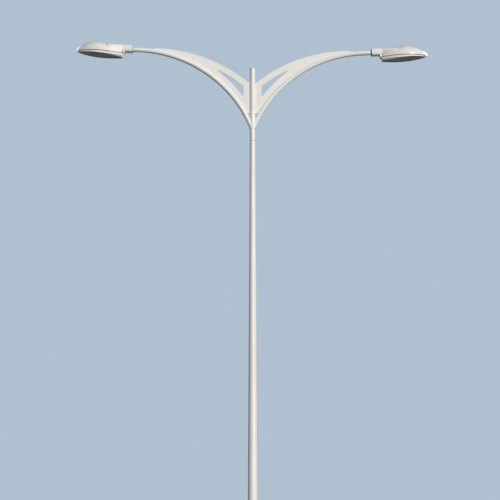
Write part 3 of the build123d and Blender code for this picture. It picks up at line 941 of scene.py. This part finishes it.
COLLAR_UNDERSIDE, TRAY_UNDERSIDE = -47, -68
clamp = Rings()
for x in (34, 82):
    clamp.skin(turned(hexagon_bolt(0.013, 0.0055), spot(x, 0, COLLAR_UNDERSIDE), -SQUARE))
both_sides(clamp, "clamp_bolts", bright_metal, "column", "bright_metal")

tray_screws = Rings()
for x, y in ((160, 34), (160, -34), (252, 78), (252, -78)):
    tray_screws.skin(turned(set_screw(0.005), spot(x, y, TRAY_UNDERSIDE), -SQUARE))
both_sides(tray_screws, "tray_screws", bright_metal, "column", "bright_metal")

PIN_X, PIN_END, PIN_Z = 118, 52, -61
ring_profile = [(0.0075, 0, 0), (0.0075, 0.0012, 0), (0.0042, 0.0012, 0)]
pin_ends = Rings()
for face in (-1, 1):
    pin_ends.skin(turned(ring_profile, spot(PIN_X, face * PIN_END, PIN_Z), (0, face, 0)))
both_sides(pin_ends, "pin_rings", bright_metal, "column", "bright_metal")
print("lantern screws", len(clamp.points) + len(tray_screws.points) + len(pin_ends.points), "points a side")

# %% [markdown]
# ## Inside the lamp
#
# A high-pressure lamp is a clear outer bulb with a small ceramic arc tube on a wire frame, and a screw cap. With
# the lens frame open one looks straight at it, so it is worth having. The cap's thread is a row of rings whose
# radius swings in and out.

# %% Arc tube, frame wires and screw cap
LAMP_X, LAMP_Z, CAP_R, THREAD_DEPTH, THREAD_ROWS = 352, -14, 0.0192, 0.0011, 19
arc_tube = Rings()
body_rows = [(0.0028, 0, 0), (0.0028, 0.012, 0), (0.0048, 0.018, 0), (0.0052, 0.03, 0), (0.0052, 0.08, 0),
             (0.0048, 0.092, 0), (0.0028, 0.098, 0), (0.0028, 0.11, 0)]
arc_tube.skin(turned(body_rows, spot(LAMP_X + 48, 0, LAMP_Z), ALONG, 20))
both_sides(arc_tube, "arc_tube", porcelain, "column", "porcelain")

wires = Rings()
for face in (-1, 1):
    bends = ((30, 10), (44, 12), (100, 12), (160, 12), (170, 4))
    path = [spot(LAMP_X + x, face * y, LAMP_Z) for x, y in bends]
    wires.skin(bead(path, 0.0009, ripple=0))
both_sides(wires, "lamp_wires", bright_metal, "column", "bright_metal")

thread = [(CAP_R + THREAD_DEPTH * sin(2 * pi * i / 6), -0.002 + 0.0011 * i, 0) for i in range(THREAD_ROWS)]
screw_cap = Rings()
screw_cap.skin(turned(thread + [(0.0185, 0.0205, 0)], spot(LAMP_X, 0, LAMP_Z), ALONG, 28))
both_sides(screw_cap, "lamp_cap", bright_metal, "column", "bright_metal")
print("lamp parts", len(arc_tube.points) + len(wires.points) + len(screw_cap.points), "points a side")

# %% [markdown]
# ## Where the lens frame's inner face lies
#
# Clips inside the lens frame press the pane against its edge, so they have to follow its wall. The frame's plan is
# two arcs that meet at its widest place, its depth shrinks towards the nose, and its wall is a steep band with a
# foot below it that leans in. All sizes here are the frame's own, in millimetres.

# %% The lens frame's form
FRAME_REAR, FRAME_NOSE, FRAME_TOP, FRAME_DEPTH, NOSE_DEPTH = 131, 714, -77, 46, 8
FRAME_WALL, BAND, BAND_DRAFT, PANE_SEAT = 4, 26, 6, 7.2
WIDEST_X, WIDEST_HALF, REAR_FLANK_R, FRONT_FLANK_R = 450, 130, 686, 387


def pane_top(x):
    """The pane's upper face below a place on the lantern."""
    share = (x - FRAME_REAR) / (FRAME_NOSE - FRAME_REAR)
    return FRAME_TOP - FRAME_DEPTH + PANE_SEAT + share * (FRAME_DEPTH - NOSE_DEPTH)


def half_width(x):
    """Half the lantern's width at a place along it."""
    flank = REAR_FLANK_R if x < WIDEST_X else FRONT_FLANK_R
    return WIDEST_HALF - flank + sqrt(flank**2 - (x - WIDEST_X) ** 2)


def wall_inside(x, z):
    """How far out the lens frame's inner face lies: a steep band above, and a foot that leans in at 45 degrees."""
    drop = FRAME_TOP - z
    return half_width(x) - FRAME_WALL - min(drop, BAND) * tan(radians(BAND_DRAFT)) - max(drop - BAND, 0)


print("inner half width", round(wall_inside(380, pane_top(380)), 1), "mm at the pane")

# %% [markdown]
# ## Clips that hold the pane
#
# The clips are bent strips of spring steel, three on each side. Each is skinned from flat rectangular rings that
# start on the pane and climb the wall. They ride with the lens frame, so they swing down with it.

# %% Pane clips
CLIP_HALF, CLIP_T, CLIP_GAP = 6, 1.0, 0.8
pane_clips = Rings()
for x in (230, 380, 520):
    for face in (-1, 1):
        low = pane_top(x)
        foot = wall_inside(x, low)
        strip = [(foot - 16, low + 0.4), (foot - 4, low + 0.6)]
        strip += [(wall_inside(x, low + rise) - CLIP_GAP, low + rise) for rise in (4, 9, 14)]
        rings = []
        for y, z in strip:
            corners = ((-CLIP_HALF, -CLIP_T / 2), (CLIP_HALF, -CLIP_T / 2), (CLIP_HALF, CLIP_T / 2),
                       (-CLIP_HALF, CLIP_T / 2))
            rings.append([spot(x + dx, face * y, z + dz) for dx, dz in corners])
        pane_clips.skin(rings)
both_sides(pane_clips, "pane_clips", bright_metal, "SIDE_lens", "bright_metal")
print("pane clips", len(pane_clips.points), "points a side")

# %% [markdown]
# ## Check the size and finish
#
# The dressed model has to stay in the box of the solids. How far it reaches past that box, on each side, is
# printed.

# %% Sizes, view settings and the last check
bpy.context.scene.view_settings.view_transform = "Standard"
low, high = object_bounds()
print("grows by", [round(max(a - b, 0), 4) for a, b in zip(cad_low, low)],
      [round(max(b - a, 0), 4) for a, b in zip(cad_high, high)])
